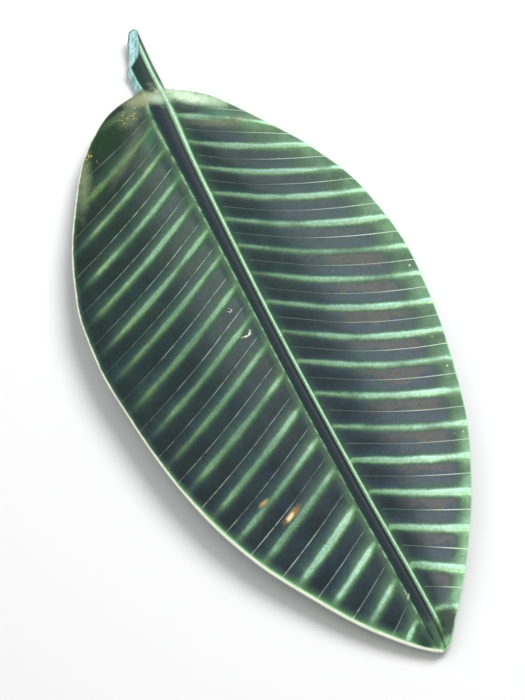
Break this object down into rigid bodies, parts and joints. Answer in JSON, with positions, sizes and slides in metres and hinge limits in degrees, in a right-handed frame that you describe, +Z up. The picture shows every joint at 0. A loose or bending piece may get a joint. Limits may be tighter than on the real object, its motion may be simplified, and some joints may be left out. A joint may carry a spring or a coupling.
{
  "type": "ceramic leaf dish",
  "caption": "Shallow glazed ceramic serving dish shaped as a banana leaf, with raised side veins, a grooved midrib and a short curled stem.",
  "frame": {"origin": "middle of the dish's length and width, on the surface that its flat foot rests on", "axes": "+Y runs along the leaf towards the stem, +X towards the leaf's right half, +Z up"},
  "size_m": [0.1952, 0.4508, 0.0249],
  "materials": {
    "green_glaze": "glossy dark green glaze, thin and pale on the raised veins and the rim"
  },
  "bodies": {
    "root": {"leaf_dish": "green_glaze"}
  },
  "joints": []
}
